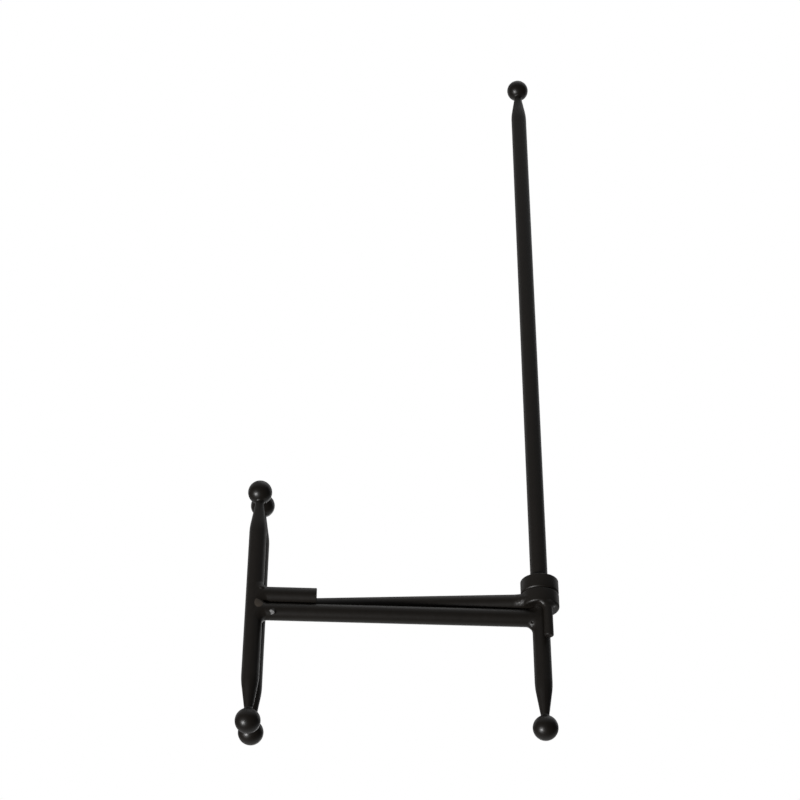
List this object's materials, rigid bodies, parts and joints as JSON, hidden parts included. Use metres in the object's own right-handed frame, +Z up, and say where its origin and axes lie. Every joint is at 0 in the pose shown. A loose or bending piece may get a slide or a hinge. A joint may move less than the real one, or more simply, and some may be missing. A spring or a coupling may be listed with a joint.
{
  "type": "tabletop easel",
  "caption": "Folding tabletop easel of black welded steel rod with ball tips: a tall upright, a fixed leg arm and a swing-out leg arm that turns on a ring.",
  "frame": {"origin": "where the rear foot ball touches the table, under the upright, which is also the axis the swing leg turns on", "axes": "+Z up along the upright, -Y towards the front, where the picture faces, +X towards the fixed leg's side"},
  "size_m": [0.0276, 0.1719, 0.4715],
  "materials": {
    "black_rod": "satin black powder coat on drawn steel bar",
    "black_ball": "satin black powder coat on steel balls, a little glossier than the rods",
    "black_ring": "satin black powder coat on turned rings, with polished rubbing faces",
    "black_weld": "satin black powder coat over weld metal, slightly uneven"
  },
  "bodies": {
    "fixed_frame": {"upright_post": "black_rod", "top_finial_ball": "black_ball", "rear_foot_ball": "black_ball", "stop_collar": "black_ring", "collar_weld": "black_weld", "fixed_arm": "black_rod", "fixed_front_post": "black_rod", "fixed_post_top_ball": "black_ball", "fixed_post_foot_ball": "black_ball", "rest_bar": "black_rod", "fixed_arm_rear_weld": "black_weld", "fixed_arm_front_weld": "black_weld", "rest_bar_weld": "black_weld"},
    "swing_leg": {"swivel_eye": "black_ring", "swing_arm": "black_rod", "swing_front_post": "black_rod", "swing_post_top_ball": "black_ball", "swing_post_foot_ball": "black_ball", "swing_arm_eye_weld": "black_weld", "swing_arm_front_weld": "black_weld", "stop_pin": "black_rod", "stop_pin_weld": "black_weld"}
  },
  "joints": [
    {"name": "leg_swing", "type": "hinge", "parent": "fixed_frame", "child": "swing_leg", "pos_m": [0, 0, 0.0807], "axis": [0, 0, -1], "range_deg": [0, 40.5]}
  ]
}
